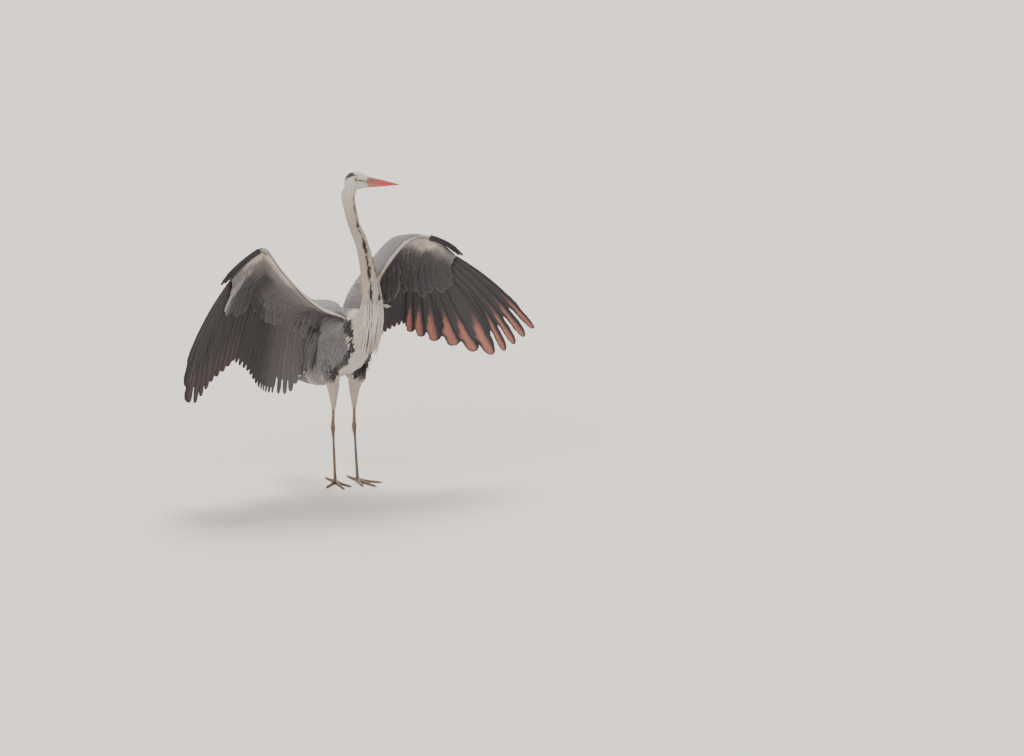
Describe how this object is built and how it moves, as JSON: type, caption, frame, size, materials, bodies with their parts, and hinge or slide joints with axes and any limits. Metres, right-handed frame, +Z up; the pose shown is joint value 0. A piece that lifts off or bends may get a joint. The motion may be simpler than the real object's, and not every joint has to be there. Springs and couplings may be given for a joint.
{
  "type": "grey heron",
  "caption": "Life-size grey heron standing on both feet with its wings half open like a cloak, as a still museum-type model.",
  "frame": {"origin": "middle of the bounding box's base, on the floor under the bird", "axes": "+Z up; the bird's body faces -Y and its left side is +X, so the wings open along X"},
  "size_m": [1.0506, 0.4822, 0.8936],
  "materials": {
    "white_plumage": "soft small feathers, white to pale grey with black streaks",
    "pale_plumage": "long loose whitish feathers",
    "grey_plumage": "overlapping ash-grey feathers, matt",
    "flight_feather": "slate to black vanes with a slight silky sheen",
    "bill_horn": "satin horn, pinkish red towards the tip",
    "eye": "wet gloss, yellow iris and black pupil",
    "leg_skin": "brownish scaly skin, dark horn claws"
  },
  "bodies": {
    "root": {"alula_left": "flight_feather", "alula_right": "flight_feather", "bill_lower": "bill_horn", "bill_upper": "bill_horn", "breast_plumes": "pale_plumage", "eye_left": "eye", "eye_right": "eye", "foot_left": "leg_skin", "foot_right": "leg_skin", "head": "white_plumage", "neck_lower": "white_plumage", "neck_middle": "white_plumage", "neck_upper": "white_plumage", "primaries_left": "flight_feather", "primaries_right": "flight_feather", "secondaries_left": "flight_feather", "secondaries_right": "flight_feather", "shank_left": "leg_skin", "shank_right": "leg_skin", "tail": "grey_plumage", "tertials_left": "flight_feather", "tertials_right": "flight_feather", "thigh_left": "pale_plumage", "thigh_right": "pale_plumage", "trunk": "grey_plumage", "wing_forearm_left": "grey_plumage", "wing_forearm_right": "grey_plumage", "wing_hand_left": "grey_plumage", "wing_hand_right": "grey_plumage", "wing_upper_arm_left": "grey_plumage", "wing_upper_arm_right": "grey_plumage"}
  },
  "joints": []
}
